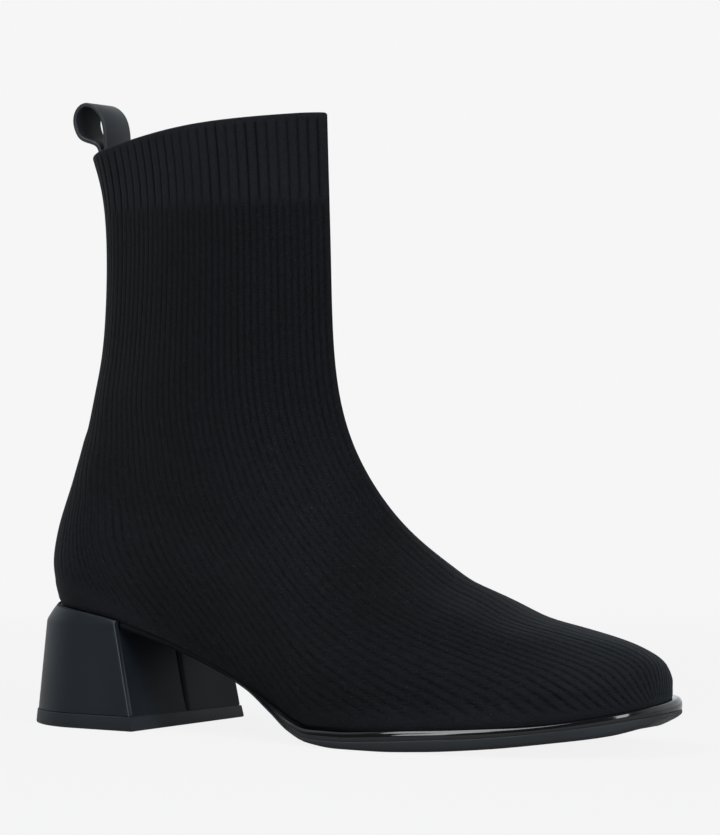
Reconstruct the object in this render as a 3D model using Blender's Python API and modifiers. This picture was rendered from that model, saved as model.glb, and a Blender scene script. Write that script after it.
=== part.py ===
"""Rib-knit ankle boot on a flared block heel, for the right foot, standing empty on its sole.

The sizes are in millimetres along the last: X from the heel to the toe, Y to the inner side of the
foot, Z up from the floor. One empty carries all the pieces to the middle of their footprint.
"""
import math

import bmesh
import bpy
import numpy as np

MM = 0.001
GAP = 0.3  # clearance between neighbouring pieces
SMOOTH_ANGLE = math.radians(35)  # flatter edges than this are shaded smooth

# Knit upper
KNIT_WALL = 1.8  # knit and lining together
UPPER_ROWS = 32  # rings of faces from the feather line to the collar
UPPER_COLUMNS = 28  # faces along each side, heel to toe
FOOT_LEVEL = 0.1  # a low upright ring, so that the wall's lower edge is level
SKEW_FADE = 12.0  # half-width under which the last's left-right curve fades out

# Feather line, where the upper meets the sole
FEATHER_BACK = 6.2
FEATHER_TIP = 248.8
HEEL_ROUND = 27.0  # length of the rounded heel end
TOE_ROUND = 37.0  # length of the rounded toe end
HEEL_POWER = 2.1
TOE_POWER = 2.4

# Sole
BREAST_TOP = 47.0  # where the heel's front face meets the waist
SOLE_START = 48.0  # clear of the heel's front face, which leans forward below
PLATEAU_INSET = 2.4  # raised middle of the outsole, inside the bead
EDGE_INSET = 0.9  # outsole edge, set back under the bead
TREAD_INSET = 1.3  # rounding of the lower edge, inwards
TREAD_ROUND = 0.35  # rounding of the lower edge, as a share of the edge's height
SOLE_STATIONS = 34

# Insole
INSOLE_THICK = 2.4
INSOLE_INSET = 3.4
INSOLE_BEVEL = 0.5

# Heel
LIFT_THICK = 5.4
SEAT_LIP = 0.5  # the heel's rim stands this far outside the feather line
SHOULDER_HEIGHT = 37.0  # lower line of the slanted rim
HEEL_STATIONS = 18

# Pull loop
LOOP_WIDTH = 15.0
LOOP_THICK = 1.2
LOOP_RADIUS = 6.6
LOOP_TOP = 226.8
LOOP_LEAN = 1.9  # the round end stands this far behind its neck
LOOP_NECK = 209.5  # height where both ends come together
LOOP_TAIL = 198.0  # height of the sewn ends inside the collar
LOOP_WALL_CLEAR = 2.9  # from the knit's outer face to the sewn ends, at their edges
LOOP_ARC_STEPS = 22
COLLAR_STEPS = 200  # steps along the collar's back when the loop's place is read from it


def table(columns, rows):
    """Named columns, one array for each."""
    return dict(zip(columns.split(), np.array(rows, float).T))


FEATHER = table("along height lateral medial", (
    (4.0, 44.2, 26.0, 26.0),
    (25.0, 42.3, 28.0, 28.0),
    (45.0, 39.0, 28.5, 27.5),
    (65.0, 33.6, 28.5, 25.0),
    (85.0, 27.0, 29.5, 22.5),
    (105.0, 18.6, 31.5, 23.0),
    (118.0, 12.6, 34.0, 26.0),
    (128.0, 8.9, 36.0, 29.5),
    (138.0, 7.4, 38.0, 33.0),
    (165.0, 7.4, 40.5, 39.5),
    (182.0, 8.4, 39.5, 41.0),
    (204.0, 10.5, 35.5, 40.0),
    (224.0, 13.1, 29.5, 36.5),
    (241.0, 15.9, 23.5, 32.0),
    (252.0, 17.9, 19.5, 28.0),
))

SOLE = table("along tread welt reach", (
    (45.0, 36.3, 0.6, 0.5),
    (65.0, 30.7, 0.7, 0.7),
    (85.0, 24.2, 0.8, 1.1),
    (105.0, 15.9, 1.0, 2.0),
    (118.0, 7.6, 2.2, 2.9),
    (128.0, 2.4, 3.2, 3.4),
    (138.0, 0.0, 3.7, 3.6),
    (165.0, 0.0, 3.7, 3.6),
    (182.0, 1.1, 3.7, 3.6),
    (204.0, 3.2, 3.7, 3.6),
    (224.0, 5.7, 3.7, 3.6),
    (241.0, 8.4, 3.7, 3.6),
    (252.0, 10.4, 3.7, 3.6),
))

# Round outer side of the bead's section, from below: shares of its reach and of its height.
BEAD = table("out up", (
    (0.75, 0.0),
    (0.93, 0.22),
    (1.0, 0.5),
    (0.9, 0.76),
    (0.7, 0.94),
    (0.45, 1.0),
))

# Sections of the upper above the feather line, lowest first. Each is a closed ring from a point at
# the back to a point at the front. It follows a share of the feather line's dip, and rises by a
# camber halfway. Its half-widths stand at the heel, waist, ball and toe shares of its length.
SHARES = (0.12, 0.36, 0.62, 0.86)
SECTIONS = table(
    "back_x back_z front_x front_z follow camber heel waist ball toe back_round front_round", (
        (4.8, 53.0, 249.2, 24.0, 0.92, 0.0, 29.0, 28.5, 38.5, 33.5, 28.0, 34.0),
        (4.2, 60.0, 247.4, 30.2, 0.78, 0.0, 30.0, 29.5, 38.0, 30.0, 28.0, 32.0),
        (5.5, 68.5, 241.5, 35.2, 0.62, 0.0, 30.0, 30.0, 35.5, 26.0, 27.0, 32.0),
        (8.1, 76.5, 229.8, 39.8, 0.46, 0.0, 29.5, 30.0, 32.5, 23.5, 26.0, 34.0),
        (11.6, 86.0, 207.8, 45.8, 0.25, 0.0, 28.0, 29.5, 29.5, 20.5, 24.0, 34.0),
        (14.0, 94.0, 183.8, 52.5, 0.10, 0.0, 26.5, 29.0, 27.5, 18.0, 22.0, 30.0),
        (16.3, 103.5, 157.0, 66.5, 0.0, 0.0, 24.0, 28.0, 26.5, 16.0, 20.0, 24.0),
        (18.0, 113.0, 139.0, 84.0, 0.0, 0.0, 21.5, 26.5, 25.0, 14.0, 18.0, 18.0),
        (20.0, 123.5, 126.5, 104.5, 0.0, 0.0, 19.5, 25.0, 23.5, 12.5, 16.0, 13.0),
        (22.3, 139.0, 120.1, 131.0, 0.0, 0.0, 17.5, 23.0, 22.0, 11.5, 15.0, 10.0),
        (23.6, 165.0, 118.4, 165.0, 0.0, 0.5, 16.5, 21.5, 21.0, 11.0, 14.0, 8.0),
        (21.9, 189.0, 117.5, 198.0, 0.0, 1.3, 16.0, 20.5, 20.5, 10.5, 14.0, 8.0),
        (16.7, 205.4, 116.8, 218.3, 0.0, 2.0, 15.5, 20.0, 20.0, 10.5, 14.0, 8.0),
    ))
TOP_LEVEL = len(SECTIONS["heel"])

# The heel's outline on the floor and at its shoulder; between them its sides are straight.
HEEL = table("height back front half round", (
    (0.0, -3.0, 57.0, 34.5, 34.0),
    (SHOULDER_HEIGHT, 0.4, BREAST_TOP, 30.2, 30.0),
))


def monotone(xs, ys, x):
    """Smooth curve through a table, flat where the table is flat and without overshoot."""
    x = np.asarray(x, float)
    run = np.diff(xs)
    slope = np.diff(ys) / run
    ends = np.concatenate((slope[:1], slope, slope[-1:]))
    before, after = ends[:-1], ends[1:]
    same = before * after > 0
    total = np.where(same, before + after, 1.0)
    tangent = np.where(same, 2 * before * after / total, 0.0)
    tangent[0], tangent[-1] = slope[0], slope[-1]
    i = np.clip(np.searchsorted(xs, x) - 1, 0, len(run) - 1)
    t = (x - xs[i]) / run[i]
    rise = t * t * (3 - 2 * t)
    bend = t * (1 - t) * ((1 - t) * tangent[i] - t * tangent[i + 1]) * run[i]
    return ys[i] * (1 - rise) + ys[i + 1] * rise + bend


def spline(xs, ys, x):
    """Natural cubic curve through a table."""
    xs, ys, x = (np.asarray(values, float) for values in (xs, ys, x))
    run = np.diff(xs)
    slope = np.diff(ys) / run
    count = len(xs)
    system = np.eye(count)
    known = np.zeros(count)
    for k in range(1, count - 1):
        system[k, k - 1:k + 2] = run[k - 1], 2 * (run[k - 1] + run[k]), run[k]
        known[k] = 6 * (slope[k] - slope[k - 1])
    bend = np.linalg.solve(system, known)
    i = np.clip(np.searchsorted(xs, x) - 1, 0, count - 2)
    after, before = x - xs[i], xs[i + 1] - x
    curved = (bend[i] * before**3 + bend[i + 1] * after**3) / (6 * run[i])
    left = (ys[i] / run[i] - bend[i] * run[i] / 6) * before
    right = (ys[i + 1] / run[i] - bend[i + 1] * run[i] / 6) * after
    return curved + left + right


def end_round(run, length, power=2.0):
    """Share of the full width at a run from a rounded end."""
    short = np.clip(1 - np.asarray(run, float) / length, 0, 1)
    return (1 - short**power) ** (1 / power)


def feather_height(along):
    return monotone(FEATHER["along"], FEATHER["height"], along)


def feather_half(along, side):
    """Half-width of the feather line; side is -1 for the outer side of the foot, 1 for the inner."""
    widths = FEATHER["lateral"] if side < 0 else FEATHER["medial"]
    heel = end_round(along - FEATHER_BACK, HEEL_ROUND, HEEL_POWER)
    toe = end_round(FEATHER_TIP - along, TOE_ROUND, TOE_POWER)
    return monotone(FEATHER["along"], widths, along) * heel * toe


def feather_dip(along):
    """How far the feather line lies below the straight line from its heel to its toe."""
    ends = np.array((FEATHER_BACK, FEATHER_TIP))
    return feather_height(along) - np.interp(along, ends, feather_height(ends))


def feather_skew(along):
    """Sideways shift of the feather line's middle, away from its rounded ends."""
    inner = np.clip(along, FEATHER_BACK + HEEL_ROUND, FEATHER_TIP - TOE_ROUND / 2)
    return (feather_half(inner, 1) - feather_half(inner, -1)) / 2


def upper_ring(level, share, side):
    """Points of one side of the upper at a level, at shares of the way from back to front.

    Level 0 is the feather line, level 1 the lowest section, and so on up to the collar.
    """
    share = np.asarray(share, float)
    rank = np.arange(1, TOP_LEVEL + 1)
    row = {name: spline(rank, column, max(level, 1.0)) for name, column in SECTIONS.items()}
    along = row["back_x"] + (row["front_x"] - row["back_x"]) * share
    height = row["back_z"] + (row["front_z"] - row["back_z"]) * share
    inside = np.clip(along, FEATHER_BACK, FEATHER_TIP)
    height = height + row["follow"] * feather_dip(inside) + row["camber"] * 4 * share * (1 - share)
    length = math.hypot(row["front_x"] - row["back_x"], row["front_z"] - row["back_z"])
    half = spline(SHARES, [row[name] for name in ("heel", "waist", "ball", "toe")], share)
    half = half * end_round(share * length, row["back_round"])
    half = half * end_round((1 - share) * length, row["front_round"])
    across = side * half + feather_skew(along) * row["follow"] * np.minimum(1, half / SKEW_FADE)
    ring = np.stack((along, across, height), 1)
    if level >= 1:
        return ring
    along = FEATHER_BACK + (FEATHER_TIP - FEATHER_BACK) * share
    base = np.stack((along, side * feather_half(along, side), feather_height(along)), 1)
    swell = level * level * (3 - 2 * level)  # the knit rises straight from the sole, then swells
    return base + (ring - base) * (swell, swell, level)


def rounded_shares(count):
    """Shares from 0 to 1, closer together at both ends."""
    return (1 - np.cos(np.linspace(0, math.pi, count + 1))) / 2


def sole_line(name, along):
    return monotone(SOLE["along"], SOLE[name], along)


def sole_outline():
    """Plan of the feather line from the heel's front on the outer side, round the toe, and back.

    Gives the points and the outward directions across the outline.
    """
    turn = np.linspace(0, math.pi / 2, SOLE_STATIONS + 1)
    along = SOLE_START + (FEATHER_TIP - SOLE_START) * np.sin(turn)
    outer = np.stack((along, -feather_half(along, -1)), 1)
    inner = np.stack((along, feather_half(along, 1)), 1)
    points = np.concatenate((outer, inner[-2::-1]))
    tangent = np.gradient(points, axis=0)
    tangent[0] = points[1] - points[0]
    tangent[-1] = points[-1] - points[-2]
    tangent /= np.linalg.norm(tangent, axis=1)[:, None]
    return points, np.stack((tangent[:, 1], -tangent[:, 0]), 1)


def paint(name, colour, roughness, metallic=0.0):
    """Material with a Principled BSDF of one colour."""
    material = bpy.data.materials.new(name)
    material.use_nodes = True
    shader = material.node_tree.nodes["Principled BSDF"]
    shader.inputs["Base Color"].default_value = (*colour, 1.0)
    shader.inputs["Roughness"].default_value = roughness
    shader.inputs["Metallic"].default_value = metallic
    material.diffuse_color = (*colour, 1.0)
    return material


def place(thing, material, parent, collection):
    thing.data.materials.append(material)
    thing.parent = parent
    collection.objects.link(thing)
    return thing


def mesh_object(name, points, faces):
    """Mesh from points in millimetres, with its faces turned out."""
    mesh = bpy.data.meshes.new(name)
    mesh.from_pydata((np.asarray(points) * MM).tolist(), [], faces)
    work = bmesh.new()
    work.from_mesh(mesh)
    bmesh.ops.recalc_face_normals(work, faces=work.faces)
    work.to_mesh(mesh)
    work.free()
    mesh.shade_smooth()
    mesh.set_sharp_from_angle(angle=SMOOTH_ANGLE)
    return bpy.data.objects.new(name, mesh)


def ring_faces(rings, count, closed=True):
    """Four-sided faces between rings that follow each other."""
    steps = count if closed else count - 1
    faces = []
    for ring in range(rings - 1):
        for step in range(steps):
            here = ring * count + step
            along = ring * count + (step + 1) % count
            faces.append((here, along, along + count, here + count))
    return faces


def ladder_cap(first, count):
    """Closes a ring with faces across it, from its first and last points to its tip."""
    left, right = first, first + count - 1
    faces = []
    while right - left > 2:
        faces.append((left, left + 1, right - 1, right))
        left, right = left + 1, right - 1
    faces.append((left, left + 1, right))
    return faces


def lofted_solid(name, rings):
    """Solid through closed rings, lowest first, each closed across at the bottom and the top."""
    count = len(rings[0])
    faces = ring_faces(len(rings), count)
    faces += ladder_cap(0, count)
    faces += ladder_cap((len(rings) - 1) * count, count)
    return mesh_object(name, np.concatenate(rings), faces)


def make_upper():
    """Knit wall, open at the collar and along the feather line."""
    share = rounded_shares(UPPER_COLUMNS)
    levels = np.linspace(0, TOP_LEVEL, UPPER_ROWS + 1)
    rings = []
    for level in np.insert(levels, 1, FOOT_LEVEL):
        outer = upper_ring(level, share, -1)
        inner = upper_ring(level, share[-2:0:-1], 1)
        rings.append(np.concatenate((outer, inner)))
    count = len(rings[0])
    upper = mesh_object("upper", np.concatenate(rings), ring_faces(len(rings), count))
    wall = upper.modifiers.new("wall", "SOLIDIFY")
    wall.thickness = KNIT_WALL * MM
    wall.offset = -1.0
    wall.use_even_offset = True
    return upper


def sole_ring(plan, outward, offset, height):
    """Ring of the sole, moved out from the feather line; height is a function of the length."""
    moved = plan + outward * np.asarray(offset, float).reshape(-1, 1)
    return np.column_stack((moved, height(moved[:, 0])))


def sole_top(along):
    return feather_height(along) - GAP


def welt_ledge(along):
    """Top of the outsole's edge, under the bead."""
    return sole_top(along) - sole_line("welt", along) - GAP


def tread_shoulder(along):
    tread = sole_line("tread", along)
    return tread + TREAD_ROUND * (welt_ledge(along) - tread)


def make_outsole():
    """Thin sole with arch and toe spring; its edge steps in under the bead."""
    plan, outward = sole_outline()
    edge = sole_line("reach", plan[:, 0]) - EDGE_INSET
    inset = np.full(len(plan), -PLATEAU_INSET)
    return lofted_solid("outsole", [
        sole_ring(plan, outward, edge - TREAD_INSET, lambda x: sole_line("tread", x)),
        sole_ring(plan, outward, edge, tread_shoulder),
        sole_ring(plan, outward, edge, welt_ledge),
        sole_ring(plan, outward, inset, welt_ledge),
        sole_ring(plan, outward, inset, sole_top),
    ])


def make_welt():
    """Rounded bead under the upper's edge, thick round the forefoot and thin along the waist."""
    plan, outward = sole_outline()
    reach = sole_line("reach", plan[:, 0])
    inner = np.full(len(plan), GAP - PLATEAU_INSET)
    corners = [(inner, 0.0)]
    corners += [(reach * out, up) for out, up in zip(BEAD["out"], BEAD["up"])]
    corners += [(inner, 1.0)]
    sides = [
        sole_ring(plan, outward, out, lambda x, up=up: sole_top(x) - (1 - up) * sole_line("welt", x))
        for out, up in corners
    ]
    rings = np.stack(sides, 1)
    count = len(corners)
    faces = ring_faces(len(rings), count)
    faces.append(tuple(range(count)))
    faces.append(tuple(range((len(rings) - 1) * count, len(rings) * count)))
    return mesh_object("welt", rings.reshape(-1, 3), faces)


def full_outline(offset):
    """Plan of the whole foot, from the heel's back round the toe, moved out by an offset."""
    share = rounded_shares(2 * SOLE_STATIONS)
    along = FEATHER_BACK + (FEATHER_TIP - FEATHER_BACK) * share
    outer = np.stack((along, -feather_half(along, -1)), 1)
    inner = np.stack((along, feather_half(along, 1)), 1)
    points = np.concatenate((outer, inner[-2:0:-1]))
    tangent = np.roll(points, -1, axis=0) - np.roll(points, 1, axis=0)
    tangent /= np.linalg.norm(tangent, axis=1)[:, None]
    return points + offset * np.stack((tangent[:, 1], -tangent[:, 0]), 1)


def make_insole():
    """Board and sock that lie inside the upper on the sole and the heel seat."""
    wide = full_outline(-INSOLE_INSET)
    narrow = full_outline(-INSOLE_INSET - INSOLE_BEVEL)
    levels = (
        (wide, 0.0),
        (wide, INSOLE_THICK - INSOLE_BEVEL),
        (narrow, INSOLE_THICK),
    )
    rings = [np.column_stack((plan, feather_height(plan[:, 0]) + up)) for plan, up in levels]
    # The ring starts beside the heel's back, so that its faces run straight across the foot.
    count = len(wide)
    points = np.concatenate(rings)
    faces = ring_faces(len(rings), count)
    for first in (0, (len(rings) - 1) * count):
        cap = ladder_cap(first + 1, count - 1)
        faces += cap + [(first, first + 1, first + count - 1)]
    return mesh_object("insole", points, faces)


def heel_plan(back, front, lateral, medial, rounding):
    """Heel outline from the outer front corner round the back to the inner front corner."""
    turn = np.linspace(0, math.pi / 2, HEEL_STATIONS + 1)
    along = front - (front - back) * np.sin(turn)
    width = end_round(along - back, rounding)
    outer = np.stack((along, -lateral * width), 1)
    inner = np.stack((along, medial * width), 1)
    return np.concatenate((outer, inner[-2::-1]))


def heel_ring(height):
    """Level ring of the heel between the floor and its shoulder."""
    row = {name: np.interp(height, HEEL["height"], column) for name, column in HEEL.items()}
    plan = heel_plan(row["back"], row["front"], row["half"], row["half"], row["round"])
    return np.column_stack((plan, np.full(len(plan), height)))


def make_heel_block():
    """Covered block: straight flared sides, then a slanted rim up to the seat."""
    lateral = feather_half(BREAST_TOP, -1) + SEAT_LIP
    medial = feather_half(BREAST_TOP, 1) + SEAT_LIP
    rim = heel_plan(FEATHER_BACK - SEAT_LIP, BREAST_TOP, lateral, medial, HEEL_ROUND)
    seat = np.column_stack((rim, sole_top(rim[:, 0])))
    return lofted_solid("heel_block", [heel_ring(LIFT_THICK + GAP), heel_ring(SHOULDER_HEIGHT), seat])


def make_heel_lift():
    """Flat wearing piece under the heel block."""
    return lofted_solid("heel_lift", [heel_ring(0.0), heel_ring(LIFT_THICK)])


def collar_back(level):
    """Place on the collar's back wall at the pull loop's edge, on the knit's outer face."""
    points = upper_ring(level, np.linspace(0, SHARES[1], COLLAR_STEPS), -1)
    half = -points[:, 1]
    return np.array([np.interp(LOOP_WIDTH / 2, half, points[:, axis]) for axis in (0, 2)])


def tail_line(height):
    """Rear face of the loop's sewn ends, parallel to the knit's back wall."""
    low, high = collar_back(TOP_LEVEL - 1), collar_back(TOP_LEVEL)
    return np.interp(height, (low[1], high[1]), (low[0], high[0])) + LOOP_WALL_CLEAR


def tangent_angle(point, centre, radius, turn):
    """Angle on a circle where a straight run from a point touches it, on the side of the turn."""
    away = np.array(point) - centre
    return math.atan2(away[1], away[0]) + turn * math.acos(radius / np.hypot(*away))


def loop_outline(radius, neck_rear, neck_front, centre):
    """Teardrop: an arc over the top, with straight runs from both its ends to the neck."""
    rear = tangent_angle(neck_rear, centre, radius, -1) + 2 * math.pi
    front = tangent_angle(neck_front, centre, radius, 1)
    angles = np.linspace(rear, front, LOOP_ARC_STEPS)
    arc = centre + radius * np.stack((np.cos(angles), np.sin(angles)), 1)
    return [tuple(neck_rear)] + [tuple(point) for point in arc] + [tuple(neck_front)]


def make_pull_loop():
    """Leather strip folded to a loop, both ends together inside the collar's back."""
    rear = tail_line(LOOP_NECK)
    front = rear + 2 * LOOP_THICK + GAP
    centre = np.array((front - LOOP_LEAN - LOOP_RADIUS, LOOP_TOP - LOOP_RADIUS))
    outside = loop_outline(LOOP_RADIUS, (rear, LOOP_NECK), (front, LOOP_NECK), centre)
    low = tail_line(LOOP_TAIL)
    outside += [(low + 2 * LOOP_THICK + GAP, LOOP_TAIL), (low, LOOP_TAIL)]
    middle = rear + LOOP_THICK
    inner_neck = LOOP_NECK + 2 * LOOP_THICK
    inside = loop_outline(
        LOOP_RADIUS - LOOP_THICK, (middle, inner_neck), (front - LOOP_THICK, inner_neck), centre)
    curve = bpy.data.curves.new("pull_loop", "CURVE")
    curve.dimensions = "2D"
    curve.fill_mode = "BOTH"
    curve.extrude = LOOP_WIDTH / 2 * MM
    for outline in (outside, inside):
        line = curve.splines.new("POLY")
        line.points.add(len(outline) - 1)
        for point, (along, height) in zip(line.points, outline):
            point.co = (along * MM, height * MM, 0.0, 1.0)
        line.use_cyclic_u = True
    loop = bpy.data.objects.new("pull_loop", curve)
    loop.rotation_euler = (math.pi / 2, 0.0, 0.0)
    return loop


def footprint_middle():
    """Middle of the boot's length and width on the floor."""
    plan, outward = sole_outline()
    edge = plan + outward * sole_line("reach", plan[:, 0])[:, None]
    low = np.minimum(edge.min(0), (HEEL["back"][0], -HEEL["half"][0]))
    return (low + edge.max(0)) / 2


def main():
    for thing in list(bpy.data.objects):
        bpy.data.objects.remove(thing, do_unlink=True)
    boot = bpy.data.collections.new("knit_boot")
    bpy.context.scene.collection.children.link(boot)
    frame = bpy.data.objects.new("knit_boot_frame", None)
    middle = footprint_middle() * MM
    frame.location = (-middle[0], -middle[1], 0.0)
    boot.objects.link(frame)
    knit = paint("knit_black", (0.008, 0.009, 0.010), 0.9)
    leather = paint("leather_black", (0.016, 0.018, 0.021), 0.45)
    bead = paint("bead_gloss_black", (0.012, 0.013, 0.014), 0.12)
    rubber = paint("rubber_black", (0.02, 0.023, 0.026), 0.6)
    lining = paint("lining_black", (0.02, 0.02, 0.021), 0.85)
    place(make_upper(), knit, frame, boot)
    place(make_insole(), lining, frame, boot)
    place(make_outsole(), rubber, frame, boot)
    place(make_welt(), bead, frame, boot)
    place(make_heel_block(), leather, frame, boot)
    place(make_heel_lift(), rubber, frame, boot)
    place(make_pull_loop(), leather, frame, boot)


main()
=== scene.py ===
"""Looks of the rib-knit ankle boot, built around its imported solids.

Sizes are in millimetres along the last, as in the part's source: X from the heel to the toe, Y to the
inner side of the foot, Z up from the floor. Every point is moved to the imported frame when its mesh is
made. Lights, floor and textures are in metres.
"""
import math

import bmesh
import bpy
import numpy as np
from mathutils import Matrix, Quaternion, Vector


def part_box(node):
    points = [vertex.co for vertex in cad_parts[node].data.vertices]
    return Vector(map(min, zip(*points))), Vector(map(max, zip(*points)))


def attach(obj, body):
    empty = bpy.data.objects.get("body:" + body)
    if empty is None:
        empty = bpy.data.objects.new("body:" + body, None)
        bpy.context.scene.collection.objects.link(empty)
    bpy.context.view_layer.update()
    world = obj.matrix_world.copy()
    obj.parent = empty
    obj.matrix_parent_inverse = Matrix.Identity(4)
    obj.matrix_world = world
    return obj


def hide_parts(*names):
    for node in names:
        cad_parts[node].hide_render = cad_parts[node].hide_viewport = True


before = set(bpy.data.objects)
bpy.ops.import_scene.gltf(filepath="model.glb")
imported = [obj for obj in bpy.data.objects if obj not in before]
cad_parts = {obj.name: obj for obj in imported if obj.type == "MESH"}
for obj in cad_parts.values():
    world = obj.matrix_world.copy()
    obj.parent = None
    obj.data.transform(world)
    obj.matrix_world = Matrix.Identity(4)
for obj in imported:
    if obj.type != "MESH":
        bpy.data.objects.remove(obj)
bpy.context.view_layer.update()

MM = 0.001
GAP = 0.08  # clearance between neighbouring pieces
SMOOTH_ANGLE = math.radians(34)
ROUND_STEPS = 5  # points on a small rounded edge

# Knit upper
KNIT_WALL = 1.8
SKEW_FADE = 12.0  # half width below which a section's lean to one side fades
KNIT_ROWS = 124
TOP_LEVEL_RISE = 18.0  # height between the two highest levels, about
RING_STEPS = 900  # fine steps along a ring when its length is read
RIBS = 48  # on each side
CUFF_RIBS = 32
RIB_COLUMNS = 6  # faces across a rib
HEEL_PLACE = 0.25  # share of the ribs, from the back, that split in two on the heel
HEEL_SPLIT = 0.68  # share of that place where the split begins to fade
HEEL_LEVELS = (4.0, 6.5)  # and the levels over which it fades upwards
RIB_DEPTH = 0.2
CUFF_DEPTH = 0.4
RIB_POWER = 3  # the higher, the narrower a groove
CUFF_POWER = 6
CUFF_SHADE_POWER = 1.6
GROOVE_DEPTHS = (0.93, 1.04)  # range of their uneven depth
CUFF_LINE = 184.5  # height where the cuff's wide ribs begin
CUFF_RISE = 0.03  # that line's slope, up to the front
CUFF_BLEND = 2.2
RIM = 1.2  # plain rim above the cuff's ribs
RIM_BLEND = (0.8, 1.2)  # shares of it between which the ribs end
RIM_LINE = 0.2  # depth of the fine line below it
RIM_LINE_WIDTH = 0.3
LIP = 0.9  # radius of the rim's rounded top
LIP_STEPS = 8
HEM_INSIDE = 9.0  # how far the knit turns down inside
HEM_SHARES = (0.15, 0.5, 1.0)
HEM_STAND = 0.4  # its end stands this far off the lining
HEM_ROW = 0.6  # height of a row, as the stitches count it
TURN_UNDER = 2.6  # how far the knit turns in over the sole
TUCK = 0.8  # the knit curves in this far where it meets the sole
TUCK_HEIGHT = 2.6
# Share of the tuck along the foot.
TUCK_SHARE = ((45.0, 0.9), (60.0, 0.0), (108.0, 0.0), (122.0, 1.0), (140.0, 1.0), (165.0, 0.25))
# Height over which the ribs come up from the smooth lower edge, along the foot.
RIB_FADE = ((30.0, 18.0), (60.0, 9.0), (110.0, 9.0), (150.0, 18.0), (225.0, 9.0), (244.0, 3.0))
FADE_START = 0.2  # share of that height that stays smooth
COUNTER = 0.45  # the stiffened heel stands this far out under the knit
COUNTER_BACK = (17.0, 108.0)  # place and height of its edge at the back
COUNTER_FALL = 0.62  # that edge's slope, down to the front
COUNTER_EDGE = (-4.0, 3.0)  # it is eased from below its line to above it
COURSE = 1.1  # height of one course of stitches
LINING_ROWS = 60
LINING_COLUMNS = 90  # on each side
LINING_LEVELS = (0.02, 0.3)  # levels that it leaves free below and above

# What is added to the knit's paleness on each part, and where that comes in or ends: painted light and
# shade, and a paler cuff and hem.
CUFF_TONE = 0.24
CUFF_FRONT_LIGHT = 0.1
SHAFT_SHADE = -0.17
SHAFT_FRONT_LIGHT = 0.12
HEEL_LIGHT = 0.42
TOE_LIGHT = 0.54
VAMP_SHADE = -0.36
HEM_TONE = 0.4
FRONT_PLACES = (0.3, 0.8)
VAMP_PLACES = (0.5, 0.8)
FOOT_TOP = (45.0, 95.0)
SHAFT_FOOT = (55.0, 95.0)
HEEL_END = (35.0, 75.0)
TOE_START = (140.0, 240.0)
VAMP_START = (120.0, 150.0)
VAMP_END = (200.0, 238.0)

# How far the grooves are broken into dashes on the shaft, and what is added elsewhere.
LOOSE = 0.4
LOOSE_CUFF = -0.3
LOOSE_FOOT = 0.6
LOOSE_TOE = -0.45
LOOSE_FOOT_TOP = (75.0, 130.0)
LOOSE_TOE_START = (190.0, 230.0)

# Feather line
FEATHER_BACK = 6.2
FEATHER_TIP = 248.8
HEEL_ROUND = 27.0
TOE_ROUND = 37.0
HEEL_POWER = 2.1
TOE_POWER = 2.4

# Sole
BREAST_TOP = 47.0  # where the heel's front meets the sole
SOLE_START = 48.0
PLATEAU_INSET = 2.4  # the bead lies round a raised part of the sole, this far in
EDGE_OUT = 0.2  # the sole's edge stands out past the bead, but not at the toe
TREAD_INSET = 1.35
TREAD_ROUND = 0.35  # share of the edge's height that is rounded to the tread
TOE_WAY = math.radians(20)  # direction of the toe's tip, from straight ahead to the inner side
TOE_BEVEL = (0.72, 1.0)  # the tread's edge is bevelled where the outline turns this far to the tip
TOE_INSET = 1.6
TOE_LIFT = 2.6
ROLL = 0.075  # the sole rises this much to the inner side at the toe, for each millimetre across
ROLL_RUN = (165.0, 240.0)
LEDGE_ROLL = 0.35  # share of the roll that the ledge under the bead takes
SOLE_STATIONS = 120
BEAD_STEPS = 16
POLISHED = (116.0, 138.0)  # along here the bead's finish turns from matt to polished
SHOWN = (94.0, 110.0)  # along here the outsole's edge comes out of the dull waist
EDGE_STEPS = 8
# Eased lip of the edge: inwards and down from its corner.
LEDGE_LIP = ((0.0, 0.5), (0.07, 0.24), (0.24, 0.07), (0.5, 0.0))

# Insole
INSOLE_THICK = 2.4
INSOLE_INSET = 2.3
INSOLE_ROUND = 0.9
INSOLE_DISH = ((4.0, 0.1), (9.0, 0.4))  # inwards from its side, and down

# Heel
LIFT_THICK = 5.05
LIFT_LEAN = 0.8  # the lift is this much thinner on the inner side
LEAN_HOLD = 1.0  # height above the lift up to which the block leans as much
LIFT_FOOT = 0.5  # rounding of the lift's lower edge
LIFT_EASE = 0.15  # and of its upper one
LIFT_REACH = 0.3  # the lift stands out this far round the block
GROOVE = 0.14  # fine line between block and lift
SEAT_LIP = 0.3
SEAT_SIDE = 1.0
SEAT_TURN = ((0.1, 0.02), (0.3, -0.1), (1.2, -1.0))  # the rim's top under the knit: inwards and up
SHOULDER = 37.5
SHOULDER_ROUND = 1.0  # length of the soft shoulder below its line
SHOULDER_RISE = 0.18  # share of the rim that it takes up above its line
SHOULDER_STEPS = 7
RIM_SWELL = 0.02  # fullness of the rim above the shoulder, as a share of its height
SWELL_UP = 0.5
RIM_ROWS = (0.2, 0.4, 0.6, 0.8, 0.96)
HEEL_STATIONS = 60
COVER_TURN = 2.5  # the leather turns in this far under the block
COVER_EASE = 0.15
COVER_ROWS = 9
COVER_START = 0.05  # share of the side below the first of these rows
COVER_EDGE = 2.3  # cut edge of the cover, seen from the front
COVER_ROUND = 0.4
COVER_MIDDLE = 0.12  # the rounding's middle lies this far inside its corner
COVER_BEHIND = 1.0  # the cut edge goes on this far behind the front
COVER_HIGHLIGHTS = (0.0, 0.4, 1.0, 0.4, 0.0, 0.15, 1.0, 0.3, 0.0)  # painted highlights along the cut edge, strongest on its two roundings
RECESS = 0.5  # the front's outer half lies this far behind the cover's edge
INNER_RECESS = -0.03
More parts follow.
